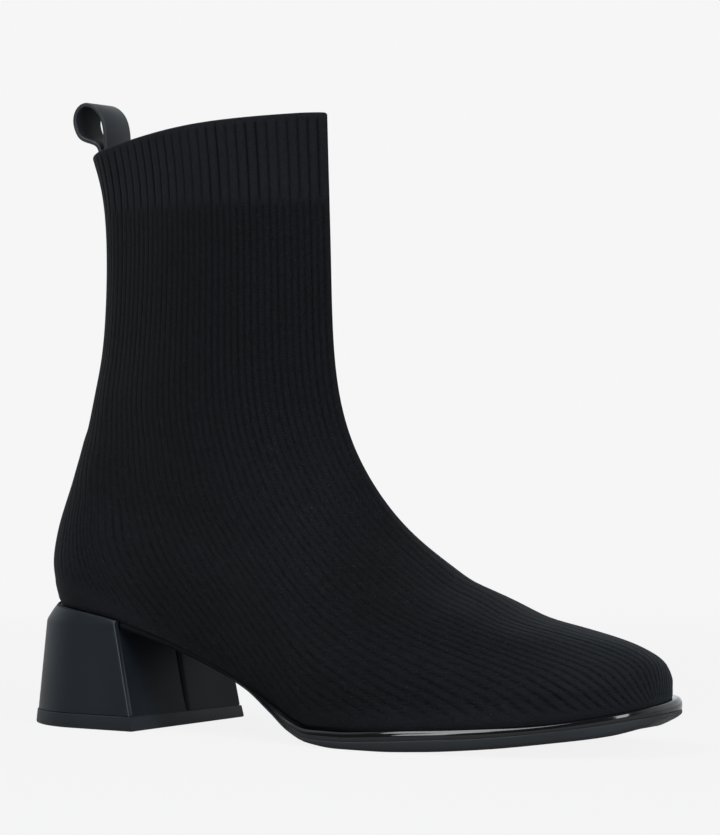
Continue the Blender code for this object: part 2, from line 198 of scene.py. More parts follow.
# Outer and seam edges of the front's two halves, each at the bottom and at the top.
LATERAL_FACE = ((-31.9, -27.8), (0.5, 2.7))
MEDIAL_FACE = ((33.4, 33.5), (3.4, 6.0))
FRONT_ROWS = 14
FRONT_COLUMNS = 12
FRONT_TOP = 1.2  # the front goes on this far above the shoulder
SEAM_STEPS = 7
SEAM_DEPTH = 0.55
OUTER_SEAM_ROUND = 0.4  # width of a half's rounded edge along the seam
INNER_SEAM_ROUND = 2.3
# Painted light on the heel's front: on the rounded seam edges and towards its top, where shade falls.
SEAM_PAINTED_LIGHT = 0.3
EDGE_HIGHLIGHT = 0.1  # painted highlight along the edge of the front's outer half, beside the seam
TOP_PAINTED_LIGHT = 0.13
CORE_INSET = 0.6
CORE_DROP = 0.4  # the core ends this far below the seat
CORE_FOOT = 0.3  # and begins this far inside the lift
CORE_FOOT_INSET = 0.4
# painted light on the core, which shows only in the shaded seam and groove
CORE_PAINTED_LIGHT = 0.25

# Pull loop
LOOP_WIDTH = 15.2
LOOP_THICK = 1.5
LOOP_STEPS = 130
LOOP_EDGE = 0.45  # rounding of the strip's edges
LOOP_EDGE_STEPS = 4
LOOP_WORN = 0.35
LOOP_SHADE_AND_DULL = 0.65  # painted shade and a duller finish inside the loop
LOOP_PLAY = 0.05  # play when the points of its edges and of its inside are told apart


def table(columns, rows):
    """Named columns, one array for each."""
    return dict(zip(columns.split(), np.array(rows, float).T))


FEATHER = table("along height lateral medial", (
    (4.0, 44.2, 26.0, 26.0),
    (25.0, 42.3, 28.0, 28.0),
    (45.0, 39.0, 28.5, 27.5),
    (65.0, 33.6, 28.5, 25.0),
    (85.0, 27.0, 29.5, 22.5),
    (105.0, 18.6, 31.5, 23.0),
    (118.0, 12.4, 34.0, 26.0),
    (128.0, 7.7, 36.6, 29.5),
    (138.0, 5.7, 39.2, 33.0),
    (150.0, 5.7, 40.4, 36.7),
    (165.0, 6.6, 41.0, 39.5),
    (182.0, 8.0, 39.5, 41.0),
    (204.0, 10.5, 35.5, 40.0),
    (224.0, 13.0, 29.5, 36.5),
    (241.0, 15.5, 23.5, 32.0),
    (252.0, 17.2, 19.5, 28.0),
))

# Heights of the sole's lower face and of the ledge under the bead, and how far the bead stands out.
SOLE = table("along tread ledge reach", (
    (45.0, 36.6, 38.6, 0.2),
    (65.0, 31.1, 33.2, 0.2),
    (85.0, 24.8, 26.55, 0.5),
    (105.0, 17.1, 17.95, 1.4),
    (118.0, 9.9, 10.7, 2.7),
    (128.0, 4.2, 5.1, 3.4),
    (138.0, 1.1, 2.7, 3.9),
    (150.0, 0.0, 2.6, 4.0),
    (165.0, 0.0, 3.4, 3.7),
    (182.0, 0.6, 4.6, 3.6),
    (204.0, 2.3, 6.2, 3.6),
    (224.0, 4.7, 8.7, 3.6),
    (241.0, 7.2, 11.4, 3.4),
    (252.0, 10.9, 13.9, 2.3),
))

# Round outer side of the bead's section, from below: shares of its reach, along the side and at the
# toe's tip, and of its height.
BEAD = table("out tip up", (
    (0.985, 0.97, 0.0),
    (0.996, 0.99, 0.15),
    (1.0, 1.0, 0.3),
    (0.998, 0.993, 0.45),
    (0.99, 0.972, 0.55),
    (0.972, 0.935, 0.65),
    (0.944, 0.88, 0.75),
    (0.9, 0.8, 0.85),
    (0.85, 0.7, 0.93),
    (0.79, 0.52, 1.0),
))

# Sections of the upper above the feather line, lowest first, as in the part's source.
SHARES = (0.12, 0.36, 0.62, 0.86)
SECTIONS = table(
    "back_x back_z front_x front_z follow camber heel waist ball toe back_round front_round", (
        (5.4, 53.0, 248.7, 24.0, 0.92, 0.0, 29.0, 28.5, 38.5, 33.5, 28.0, 34.0),
        (5.1, 60.0, 246.9, 30.2, 0.78, 0.0, 30.0, 29.5, 38.0, 30.0, 28.0, 32.0),
        (6.5, 68.5, 241.2, 35.2, 0.62, 0.0, 30.0, 30.0, 35.5, 26.0, 27.0, 32.0),
        (8.7, 76.5, 229.6, 39.9, 0.46, 0.0, 29.5, 30.0, 32.5, 23.5, 26.0, 34.0),
        (11.8, 86.0, 207.6, 45.3, 0.25, 0.0, 28.0, 29.5, 29.5, 20.5, 24.0, 34.0),
        (14.1, 94.0, 183.8, 52.9, 0.10, 0.0, 26.5, 29.0, 27.5, 18.0, 22.0, 30.0),
        (16.3, 103.5, 157.0, 66.8, 0.0, 0.0, 24.0, 28.0, 26.5, 16.0, 20.0, 24.0),
        (18.0, 113.0, 139.0, 84.0, 0.0, 0.0, 21.5, 26.5, 25.0, 14.0, 18.0, 18.0),
        (20.0, 123.5, 126.5, 104.5, 0.0, 0.0, 19.5, 25.0, 23.5, 12.5, 16.0, 13.0),
        (22.3, 139.0, 120.1, 131.0, 0.0, 0.0, 17.5, 23.0, 22.0, 11.5, 15.0, 10.0),
        (23.6, 165.0, 118.4, 165.0, 0.0, 0.5, 16.5, 21.5, 21.0, 11.0, 14.0, 8.0),
        (21.9, 189.0, 117.5, 198.0, 0.0, 1.3, 16.0, 20.5, 20.5, 10.5, 14.0, 8.0),
        (16.7, 205.4, 116.8, 218.4, 0.0, 2.3, 15.5, 20.0, 20.0, 10.5, 14.0, 8.0),
    ))
TOP_LEVEL = len(SECTIONS["heel"])

# Where the ribs run: at each level, the share of the way round from back to front of the ribs that lie
# at these places on the shaft. On the foot they sweep forwards, and round the toe they come down.
RIB_PLACES = (0.1, 0.25, 0.5, 0.75, 0.9)
RIB_RUN = table("level tenth quarter half three_quarters nine_tenths", (
    (0.0, 0.12, 0.315, 0.665, 0.914, 0.981),
    (1.0, 0.12, 0.278, 0.603, 0.88, 0.966),
    (2.0, 0.12, 0.25, 0.54, 0.846, 0.955),
    (3.0, 0.12, 0.228, 0.484, 0.793, 0.936),
    (4.0, 0.118, 0.22, 0.447, 0.74, 0.912),
    (5.0, 0.115, 0.221, 0.43, 0.706, 0.887),
    (6.0, 0.11, 0.228, 0.438, 0.712, 0.885),
    (8.0, 0.10, 0.242, 0.484, 0.74, 0.90),
    (10.0, 0.09, 0.24, 0.495, 0.745, 0.90),
    (13.0, 0.09, 0.24, 0.495, 0.745, 0.90),
))

# Soft troughs and ridges across the instep: where they lie, how high they stand and how wide they are.
CREASES = table("along height width", (
    (172.0, -0.5, 7.0),
    (185.5, 0.55, 7.0),
    (201.0, -0.5, 9.0),
))
CREASE_LEVELS = (3.2, 5.0)  # they come in upwards over these levels
CREASE_PLACES = (0.6, 0.85)  # and forwards over these places

# The heel's outline on the floor and at its shoulder; between them its sides are straight. Its front's
# inner corner lies further forwards than the outer one, by what is in the column askew.
HEEL = table("height back front askew lateral medial round", (
    (0.0, -3.0, 57.2, 0.0, 34.5, 34.0, 34.0),
    (SHOULDER, 0.4, 46.2, 2.2, 30.2, 34.0, 30.0),
))

# Middle line of the pull loop's strip, from its rear end inside the collar, over, to its front end.
LOOP_PATH = table("along height", (
    (24.9, 198.0),
    (23.9, 202.0),
    (22.8, 206.5),
    (21.9, 209.4),
    (20.2, 211.2),
    (16.8, 212.4),
    (13.4, 213.9),
    (11.3, 217.0),
    (10.6, 220.6),
    (11.8, 223.9),
    (14.6, 225.7),
    (17.7, 225.4),
    (20.6, 223.7),
    (22.7, 221.2),
    (23.9, 218.2),
    (24.5, 214.8),
    (24.7, 211.0),
    (25.1, 206.5),
    (25.7, 202.0),
    (26.5, 198.0),
))

heel_corner = Vector((HEEL["back"][0], -HEEL["lateral"][0], 0.0)) * MM
shift = np.array(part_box("heel_lift")[0] - heel_corner)


def monotone(xs, ys, x):
    """Smooth curve through a table, flat where it is flat, without overshoot."""
    xs, ys, x = (np.asarray(values, float) for values in (xs, ys, x))
    run = np.diff(xs)
    slope = np.diff(ys) / run
    ends = np.concatenate((slope[:1], slope, slope[-1:]))
    before, after = ends[:-1], ends[1:]
    same = before * after > 0
    total = np.where(same, before + after, 1.0)
    tangent = np.where(same, 2 * before * after / total, 0.0)
    tangent[0], tangent[-1] = slope[0], slope[-1]
    i = np.clip(np.searchsorted(xs, x) - 1, 0, len(run) - 1)
    t = (x - xs[i]) / run[i]
    rise = t * t * (3 - 2 * t)
    bend = t * (1 - t) * ((1 - t) * tangent[i] - t * tangent[i + 1]) * run[i]
    return ys[i] * (1 - rise) + ys[i + 1] * rise + bend


def spline(xs, ys, x):
    """Natural cubic curve through a table."""
    xs, ys, x = (np.asarray(values, float) for values in (xs, ys, x))
    run = np.diff(xs)
    slope = np.diff(ys) / run
    count = len(xs)
    system = np.eye(count)
    known = np.zeros(count)
    for k in range(1, count - 1):
        system[k, k - 1:k + 2] = run[k - 1], 2 * (run[k - 1] + run[k]), run[k]
        known[k] = 6 * (slope[k] - slope[k - 1])
    bend = np.linalg.solve(system, known)
    i = np.clip(np.searchsorted(xs, x) - 1, 0, count - 2)
    after, before = x - xs[i], xs[i + 1] - x
    curved = (bend[i] * before**3 + bend[i + 1] * after**3) / (6 * run[i])
    left = (ys[i] / run[i] - bend[i] * run[i] / 6) * before
    right = (ys[i + 1] / run[i] - bend[i + 1] * run[i] / 6) * after
    return curved + left + right


def ease(low, high, x):
    """Smooth rise from 0 at the low end of a range to 1 at the high end."""
    t = np.clip((np.asarray(x, float) - low) / (high - low), 0, 1)
    return t * t * (3 - 2 * t)


def unit(vectors):
    return vectors / np.maximum(np.linalg.norm(vectors, axis=-1, keepdims=True), 1e-9)


def quarter_turn(count):
    return np.linspace(0, math.pi / 2, count)


def end_round(run, length, power=2.0):
    """Share of the full width at a run from a rounded end."""
    short = np.clip(1 - np.asarray(run, float) / length, 0, 1)
    return (1 - short**power) ** (1 / power)


def feather_height(along):
    return monotone(FEATHER["along"], FEATHER["height"], along)


def toe_roll(along):
    return ROLL * ease(*ROLL_RUN, along)


def feather_half(along, side):
    widths = FEATHER["lateral"] if side < 0 else FEATHER["medial"]
    heel = end_round(along - FEATHER_BACK, HEEL_ROUND, HEEL_POWER)
    toe = end_round(FEATHER_TIP - along, TOE_ROUND, TOE_POWER)
    return monotone(FEATHER["along"], widths, along) * heel * toe


def feather_sides(along):
    """Plan of the outer and of the inner side of the feather line."""
    return [np.stack((along, side * feather_half(along, side)), 1) for side in (-1, 1)]


def feather_dip(along):
    ends = np.array((FEATHER_BACK, FEATHER_TIP))
    return feather_height(along) - np.interp(along, ends, feather_height(ends))


def feather_skew(along):
    inner = np.clip(along, FEATHER_BACK + HEEL_ROUND, FEATHER_TIP - TOE_ROUND / 2)
    return (feather_half(inner, 1) - feather_half(inner, -1)) / 2


def upper_ring(level, share, side):
    """Points of one side of the upper at a level, at shares of the way from back to front."""
    share = np.asarray(share, float)
    rank = np.arange(1, TOP_LEVEL + 1)
    row = {name: spline(rank, column, max(level, 1.0)) for name, column in SECTIONS.items()}
    along = row["back_x"] + (row["front_x"] - row["back_x"]) * share
    height = row["back_z"] + (row["front_z"] - row["back_z"]) * share
    inside = np.clip(along, FEATHER_BACK, FEATHER_TIP)
    height = height + row["follow"] * feather_dip(inside) + row["camber"] * 4 * share * (1 - share)
    length = math.hypot(row["front_x"] - row["back_x"], row["front_z"] - row["back_z"])
    half = spline(SHARES, [row[name] for name in ("heel", "waist", "ball", "toe")], share)
    half = half * end_round(share * length, row["back_round"])
    half = half * end_round((1 - share) * length, row["front_round"])
    across = side * half + feather_skew(along) * row["follow"] * np.minimum(1, half / SKEW_FADE)
    ring = np.stack((along, across, height), 1)
    if level >= 1:
        return ring
    along = FEATHER_BACK + (FEATHER_TIP - FEATHER_BACK) * share
    across = side * feather_half(along, side)
    base = np.stack((along, across, feather_height(along) + toe_roll(along) * across), 1)
    swell = level * level * (3 - 2 * level)
    return base + (ring - base) * (swell, swell, level)


def rounded_shares(count):
    """Shares from 0 to 1, closer together at both ends."""
    return (1 - np.cos(np.linspace(0, math.pi, count + 1))) / 2


def rib_side(level, places, side):
    """Points of one side of the upper at a level, one on each rib place from back to front."""
    fine = upper_ring(level, rounded_shares(RING_STEPS), side)
    run = np.concatenate(((0.0,), np.cumsum(np.linalg.norm(np.diff(fine, axis=0), axis=1))))
    levels, *columns = RIB_RUN.values()
    held = [monotone(levels, column, level) for column in columns]
    reach = monotone((0.0, *RIB_PLACES, 1.0), (0.0, *held, 1.0), places) * run[-1]
    return np.stack([np.interp(reach, run, fine[:, axis]) for axis in range(3)], 1)


def rib_ring(level, places):
    """Closed ring of the upper: the outer side to the front, then the inner side back."""
    outer = rib_side(level, places, -1)
    inner = rib_side(level, places, 1)
    return np.concatenate((outer, inner[-2:0:-1]))


def grid_normals(grid):
    """Outward directions of a grid of closed rings, lowest first."""
    around = np.roll(grid, -1, axis=1) - np.roll(grid, 1, axis=1)
    rise = np.gradient(grid, axis=0)
    return unit(np.cross(around, rise))


def sole_line(name, along):
    return monotone(SOLE["along"], SOLE[name], along)


def right_of(tangent):
    """Directions out of a plan whose tangents keep it on their left."""
    return np.stack((tangent[:, 1], -tangent[:, 0]), 1)


def sole_outline():
    """Plan of the feather line from the heel's front on the outer side, round the toe, and back."""
    along = SOLE_START + (FEATHER_TIP - SOLE_START) * np.sin(quarter_turn(SOLE_STATIONS + 1))
    outer, inner = feather_sides(along)
    points = np.concatenate((outer, inner[-2::-1]))
    tangent = np.gradient(points, axis=0)
    tangent[0] = points[1] - points[0]
    tangent[-1] = points[-1] - points[-2]
    return points, right_of(unit(tangent))


def sole_ring(plan, outward, offset, height):
    """A plan moved out by an offset, at the height that a function gives."""
    moved = plan + outward * np.asarray(offset, float).reshape(-1, 1)
    return np.column_stack((moved, height(*moved.T)))


def sole_top(along, across):
    return feather_height(along) + toe_roll(along) * across - GAP


def toe_share(outward):
    """How far the outline has turned to the toe's tip."""
    return ease(*TOE_BEVEL, outward @ (math.cos(TOE_WAY), math.sin(TOE_WAY)))


def welt_ledge(along, across):
    return sole_line("ledge", along) + LEDGE_ROLL * toe_roll(along) * (across + feather_half(along, -1))


# Meshes

def ring_faces(rows, columns, closed):
    """Four-sided faces between rings that follow each other."""
    index = np.arange(rows * columns).reshape(rows, columns)
    right = np.roll(index, -1, axis=1)
    here, along = (index, right) if closed else (index[:, :-1], right[:, :-1])
    return np.stack((here[:-1], along[:-1], along[1:], here[1:]), -1).reshape(-1, 4).tolist()


def ladder_cap(first, count):
    """Closes a ring with faces across it, from its first and last points to its tip."""
    left, right = first, first + count - 1
    faces = []
    while right - left > 2:
        faces.append((left, left + 1, right - 1, right))
        left, right = left + 1, right - 1
    if right - left == 2:
        faces.append((left, left + 1, right))
    return faces


def solid_faces(rings):
    """Faces of a solid through rings, with faces across the first and the last."""
    count = len(rings[0])
    ends = ladder_cap(0, count) + ladder_cap((len(rings) - 1) * count, count)
    return ring_faces(len(rings), count, True) + ends


def tube_faces(rings):
    """Faces of a tube through rings, with one face on each end."""
    count = len(rings[0])
    last = (len(rings) - 1) * count
    ends = [tuple(range(count)), tuple(range(last, last + count))]
    return ring_faces(len(rings), count, True) + ends


def new_object(name, data):
    made = bpy.data.objects.new(name, data)
    bpy.context.scene.collection.objects.link(made)
    return made


def piece(name, points, faces, material, slot, nodes=(), turn_out=True, **floats):
    """Mesh object from rows of points in millimetres, with values at the points, riding on the boot."""
    mesh = bpy.data.meshes.new(name)
    mesh.from_pydata((np.reshape(points, (-1, 3)) * MM + shift).tolist(), [], faces)
    if turn_out:
        work = bmesh.new()
        work.from_mesh(mesh)
        bmesh.ops.recalc_face_normals(work, faces=work.faces)
        work.to_mesh(mesh)
        work.free()
    for key, values in floats.items():
        spread = np.broadcast_to(values, np.shape(points)[:-1])
        layer = mesh.attributes.new(key, "FLOAT", "POINT")
        layer.data.foreach_set("value", spread.astype(np.float32).ravel())
    mesh.shade_smooth()
    mesh.set_sharp_from_angle(angle=SMOOTH_ANGLE)
    mesh.materials.append(material)
    made = new_object(name, mesh)
    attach(made, "root")
    if nodes:
        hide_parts(*nodes)


# Materials

KNIT_DARK = (0.0021, 0.0025, 0.0033, 1)
KNIT_PALE = (0.0093, 0.0107, 0.0132, 1)
# Painted shade for the grooves between the ribs.
KNIT_GROOVE_SHADE = (0.0010, 0.0012, 0.0016, 1)
KNIT_SPECK = (0.030, 0.033, 0.038, 1)
GROOVE_POWER = 2.1  # the higher, the narrower the painted shade in a groove
STITCH_SLANT = 0.45  # courses that a stitch rises from the middle of its rib to the groove
# How much each adds to the knit's paleness, what is taken off their sum, and how much each stands out.
FLECK_TONE, STREAK_TONE, STITCH_TONE, CLOUD_TONE = 1.3, 0.8, 0.06, 0.25
TONE_OFF = 0.68
FLECK_HEIGHT, STREAK_HEIGHT, STITCH_HEIGHT = 0.6, 0.5, 0.15
PAINTED_SHADE_BLACK = (0.0040, 0.0062, 0.0106, 1)  # painted shade inside the loop and on the heel rim's top
INSIDE_ROUGH = 0.4  # roughness that is added there
# Paler colour: edge paint on the loop, painted light and painted highlights on the heel.
EDGE_PAINT_AND_LIGHT_GREY = (0.06, 0.066, 0.073, 1)
LEATHER_CLOUDS = 0.16  # range of its roughness
RUBBER_CLOUDS = 0.2
RUBBER_SHINE = 0.28
WAIST_BLACK = (0.0056, 0.0064, 0.0079, 1)  # the sole's edge along the waist, as dark as the knit
WAIST_SHINE = 0.06
WAIST_ROUGH = 0.3  # roughness that is added there
BEAD_BLACK = (0.0030, 0.0037, 0.0047, 1)
BEAD_SHINE, BEAD_MATT_SHINE = 0.54, 0.02
BEAD_ROUGH, BEAD_MATT_ROUGH = 0.06, 0.76
BEAD_CLOUDS = 0.06


def fill(node, values=(), **inputs):
    """Fills a node's inputs, in order or by name, with values or with links to sockets."""
    named = [(key.replace("_", " "), item) for key, item in inputs.items()]
    for place, item in (*enumerate(values), *named):
        if isinstance(item, bpy.types.NodeSocket):
            node.id_data.links.new(item, node.inputs[place])
        elif item is not None:
            node.inputs[place].default_value = item


def add(tree, kind, settings=None, **inputs):
    """New node with its inputs filled."""
    made = tree.nodes.new(kind)
    for key, value in (settings or {}).items():
        setattr(made, key, value)
    fill(made, **inputs)
    return made


def maths(tree, operation, *values):
    return add(tree, "ShaderNodeMath", {"operation": operation}, values=values).outputs[0]


def weigh(tree, value, weight, rest=0.0):
    """A value times its weight, added to the rest."""
    return maths(tree, "MULTIPLY_ADD", value, weight, rest)


def mix(tree, share, first, second):
    """Colour between two others. A Mix node's colours are its inputs 6 and 7 and its output 2."""
    unused = [None] * 5
    values = (share, *unused, first, second)
    return add(tree, "ShaderNodeMix", {"data_type": "RGBA"}, values=values).outputs[2]


def blank(name, **inputs):
    """Material with a Principled BSDF; gives the material, its tree and the shader."""
    material = bpy.data.materials.new(name)
    material.use_nodes = True
    tree = material.node_tree
    shader = tree.nodes["Principled BSDF"]
    fill(shader, **inputs)
    return material, tree, shader


def attribute(tree, name):
    return add(tree, "ShaderNodeAttribute", {"attribute_name": name}).outputs["Fac"]


def noise(tree, scale, detail=2.0):
    """Noise of so many turns to a metre."""
    place = add(tree, "ShaderNodeTexCoord").outputs["Object"]
    return add(tree, "ShaderNodeTexNoise", Vector=place, Scale=scale, Detail=detail).outputs["Fac"]


def yarn_noise(tree, across, course, ribs, courses, detail):
    """Noise that runs with the yarn: so many turns to a rib, and to a millimetre along it."""
    turns = (maths(tree, "MULTIPLY", across, ribs), maths(tree, "MULTIPLY", course, courses))
    place = add(tree, "ShaderNodeCombineXYZ", values=turns).outputs[0]
    return add(tree, "ShaderNodeTexNoise", Vector=place, Scale=1.0, Detail=detail).outputs["Fac"]


def map_range(tree, value, low, high, first, second):
    """Value between the first and the second, as another goes from low to high."""
    made = add(tree, "ShaderNodeMapRange", {"interpolation_type": "SMOOTHSTEP"}, Value=value,
               From_Min=low, From_Max=high, To_Min=first, To_Max=second)
    return made.outputs[0]


def bump(tree, shader, height, distance, strength):
    made = add(tree, "ShaderNodeBump", Height=height, Distance=distance, Strength=strength)
    fill(shader, Normal=made.outputs[0])


def knit_material():
    """Rib knit: broken grooves with painted shade, streaks along the yarn, courses of stitches and
    flecks.
    """
    material, tree, shader = blank(
        "knit_black", Roughness=0.95, Specular_IOR_Level=0.1, Sheen_Weight=0.04, Sheen_Roughness=0.45,
        Sheen_Tint=(0.8, 0.9, 1.0, 1))
    names = ("rib", "course", "across", "loose", "tone")
    rib, course, across, loose, tone = (attribute(tree, name) for name in names)
    streak = yarn_noise(tree, across, course, ribs=3.2, courses=0.28, detail=3.0)
    dash = yarn_noise(tree, across, course, ribs=1.9, courses=0.75, detail=1.5)
    fleck = noise(tree, scale=1500.0, detail=3.0)
    cloud = noise(tree, scale=60.0, detail=2.0)
    grain = noise(tree, scale=1800.0, detail=1.0)
    # A groove is broken into dashes.
    gap = map_range(tree, dash, low=0.38, high=0.58, first=0.92, second=0.0)
    unbroken = maths(tree, "SUBTRACT", 1.0, maths(tree, "MULTIPLY", loose, gap))
    groove = maths(tree, "MULTIPLY", maths(tree, "POWER", rib, GROOVE_POWER), unbroken)
    slope = weigh(tree, rib, STITCH_SLANT, maths(tree, "DIVIDE", course, COURSE))
    wave = maths(tree, "SINE", maths(tree, "MULTIPLY", slope, 2 * math.pi))
    light = weigh(tree, fleck, FLECK_TONE, weigh(tree, streak, STREAK_TONE))
    light = weigh(tree, wave, STITCH_TONE, light)
    light = weigh(tree, cloud, CLOUD_TONE, maths(tree, "SUBTRACT", light, TONE_OFF))
    # Painted light and shade by region, added to the knit's paleness.
    light = maths(tree, "ADD", tone, light)
    rise = mix(tree, light, KNIT_DARK, KNIT_PALE)
    # Painted shade in the grooves between the ribs, and under the knit's turned edge.
    colour = mix(tree, groove, rise, KNIT_GROOVE_SHADE)
    speck = map_range(tree, grain, low=0.66, high=0.78, first=0.0, second=0.7)
    colour = mix(tree, maths(tree, "MULTIPLY", loose, speck), colour, KNIT_SPECK)
    fill(shader, Base_Color=colour)
    height = weigh(tree, fleck, FLECK_HEIGHT, weigh(tree, wave, STITCH_HEIGHT))
    height = weigh(tree, streak, STREAK_HEIGHT, height)
    bump(tree, shader, height, distance=0.00025, strength=0.6)
    return material


def textile_material(name, dark, light, scale):
    """Plain close fabric."""
    material, tree, shader = blank(name, Roughness=0.9, Specular_IOR_Level=0.15)
    fine = noise(tree, scale, detail=3.0)
    broad = noise(tree, scale=35.0)
    share = weigh(tree, fine, weight=0.8, rest=weigh(tree, broad, weight=0.3))
    fill(shader, Base_Color=mix(tree, share, dark, light))
    bump(tree, shader, fine, distance=0.0002, strength=0.6)
    return material


def leather_material(name, dark, light, roughness, shine):
    """Smooth finished leather: fine pebble grain, slightly cloudy gloss; painted shade and dull inside
    the loop.
    """
    material, tree, shader = blank(name, Specular_IOR_Level=shine)
    place = add(tree, "ShaderNodeTexCoord").outputs["Object"]
    cells = add(tree, "ShaderNodeTexVoronoi", {"feature": "SMOOTH_F1"}, Vector=place, Scale=1400.0)
    broad = noise(tree, scale=45.0, detail=3.0)
    fine = noise(tree, scale=2600.0)
    inside = attribute(tree, "inside")
    colour = mix(tree, broad, dark, light)
    # Painted shade where the points say: inside the loop and on the heel rim's top.
    colour = mix(tree, inside, colour, PAINTED_SHADE_BLACK)
    # Paler where the points say: edge paint on the loop, painted light and highlights on the heel.
    colour = mix(tree, attribute(tree, "worn"), colour, EDGE_PAINT_AND_LIGHT_GREY)
    rough = weigh(tree, broad, LEATHER_CLOUDS, roughness - LEATHER_CLOUDS / 2)
    fill(shader, Base_Color=colour, Roughness=weigh(tree, inside, INSIDE_ROUGH, rough))
    height = weigh(tree, fine, weight=0.3, rest=cells.outputs["Distance"])
    bump(tree, shader, height, distance=0.00008, strength=0.35)
    return material


def rubber_material(name, dark, light, roughness, dull_waist):
    """Moulded rubber with a fine matt skin; an outsole's is duller and darker along the waist."""
    material, tree, shader = blank(name, Specular_IOR_Level=RUBBER_SHINE)
    broad = noise(tree, scale=70.0, detail=4.0)
    fine = noise(tree, scale=3000.0)
    colour = mix(tree, broad, dark, light)
    rough = weigh(tree, broad, RUBBER_CLOUDS, roughness - RUBBER_CLOUDS / 2)
    if dull_waist:
        waist = attribute(tree, "waist")
        colour = mix(tree, waist, colour, WAIST_BLACK)
        rough = weigh(tree, waist, WAIST_ROUGH, rough)
        shine = weigh(tree, waist, WAIST_SHINE - RUBBER_SHINE, RUBBER_SHINE)
        fill(shader, Specular_IOR_Level=shine)
    fill(shader, Base_Color=colour, Roughness=rough)
    bump(tree, shader, fine, distance=0.00005, strength=0.4)
    return material


def gloss_material():
    """Bead: polished round the forefoot, matt along the waist, faintly wavy."""
    material, tree, shader = blank("bead_gloss_black", Specular_IOR_Level=BEAD_SHINE)
    broad = noise(tree, scale=40.0)
    polish = attribute(tree, "gloss")
    colour = mix(tree, polish, WAIST_BLACK, BEAD_BLACK)
    rough = weigh(tree, polish, BEAD_ROUGH - BEAD_MATT_ROUGH, BEAD_MATT_ROUGH)
    rough = weigh(tree, broad, BEAD_CLOUDS, rough)
    shine = weigh(tree, polish, BEAD_SHINE - BEAD_MATT_SHINE, BEAD_MATT_SHINE)
    fill(shader, Base_Color=colour, Roughness=rough, Specular_IOR_Level=shine)
    bump(tree, shader, broad, distance=0.0004, strength=0.2)
    return material


# Pieces

def rib_places():
    """Places of the columns along one side, twice as close where the ribs split on the heel."""
    split = int(RIBS * HEEL_PLACE)
    fine = np.linspace(0, HEEL_PLACE, split * RIB_COLUMNS * 2 + 1)
    return np.concatenate((fine[:-1], np.linspace(HEEL_PLACE, 1, (RIBS - split) * RIB_COLUMNS + 1)))


def ridge(places, count):
    """Across each rib: 0 along its middle, and the groove's uneven depth, about 1, beside it."""
    depth = np.random.default_rng(count).uniform(*GROOVE_DEPTHS, count + 1)
    return np.abs(2 * np.mod(places * count, 1) - 1) * depth[np.round(places * count).astype(int)]


def rib_forms(grid, place, levels, course, cuff):
    """How far the grooves between the ribs are cut in, and how much painted shade they take."""
    heel = 1 - ease(HEEL_PLACE * HEEL_SPLIT, HEEL_PLACE, place)
    heel = heel * (1 - ease(*HEEL_LEVELS, levels))[:, None]
    body = (1 - heel) * ridge(place, RIBS) + heel * ridge(place, RIBS * 2)
    wide = ridge(place, CUFF_RIBS)
    below_rim = course[-1] - course
    plain = 1 - ease(RIM * RIM_BLEND[0], RIM * RIM_BLEND[1], below_rim)
    fade = np.interp(grid[0, :, 0], *zip(*RIB_FADE))
    shown = ease(FADE_START * fade, fade, course) * (1 - plain)
    relief = -(1 - cuff) * RIB_DEPTH * body**RIB_POWER - cuff * CUFF_DEPTH * wide**CUFF_POWER
    relief = relief * shown - RIM_LINE * np.exp(-((below_rim - RIM) / RIM_LINE_WIDTH) ** 2)
    return relief, ((1 - cuff) * body + cuff * wide**CUFF_SHADE_POWER) * shown


def soft_forms(relief, grid, place, levels, course):
    """Relief with the stiffened heel, the creases across the instep and the tuck over the sole."""
    along, _, up = np.moveaxis(grid, 2, 0)
    # The stiffened heel ends in a soft edge that runs from the back down and forwards.
    back, top = COUNTER_BACK
    edge = up + COUNTER_FALL * (along - back) - top
    relief = relief + COUNTER * (1 - ease(*COUNTER_EDGE, edge))
    crease = 0.0
    for middle, height, width in zip(*CREASES.values()):
        crease = crease + height * np.exp(-((along - middle) / width) ** 2)
    relief += crease * ease(*CREASE_LEVELS, levels)[:, None] * ease(*CREASE_PLACES, place)
    tuck = TUCK * np.interp(grid[0, :, 0], *zip(*TUCK_SHARE))
    return relief - tuck * (1 - ease(0.0, TUCK_HEIGHT, course)) ** 2


def knit_tone(grid, place, cuff):
    """Painted light on the knit's front, heel and toe, painted shade on its shaft and vamp; a paler
    cuff.
    """
    along, _, up = np.moveaxis(grid, 2, 0)
    front = ease(*FRONT_PLACES, place)
    shaft = (1 - cuff) * ease(*SHAFT_FOOT, up)
    tone = (CUFF_TONE + CUFF_FRONT_LIGHT * front) * cuff + (SHAFT_SHADE + SHAFT_FRONT_LIGHT * front) * shaft
    heel = 1 - ease(*HEEL_END, along)
    toe = ease(*TOE_START, along)
    tone += (1 - ease(*FOOT_TOP, up)) * (HEEL_LIGHT * heel + TOE_LIGHT * toe)
    vamp = ease(*VAMP_START, along) * (1 - ease(*VAMP_END, along))
    return tone + VAMP_SHADE * vamp * ease(*VAMP_PLACES, place)


def knit_loose(grid, cuff):
    """How far the grooves are broken: most on the foot, hardly on the cuff and at the toe."""
    foot = 1 - ease(*LOOSE_FOOT_TOP, grid[:, :, 2])
    toe = ease(*LOOSE_TOE_START, grid[:, :, 0])
    return LOOSE + LOOSE_CUFF * cuff + LOOSE_FOOT * foot + LOOSE_TOE * toe


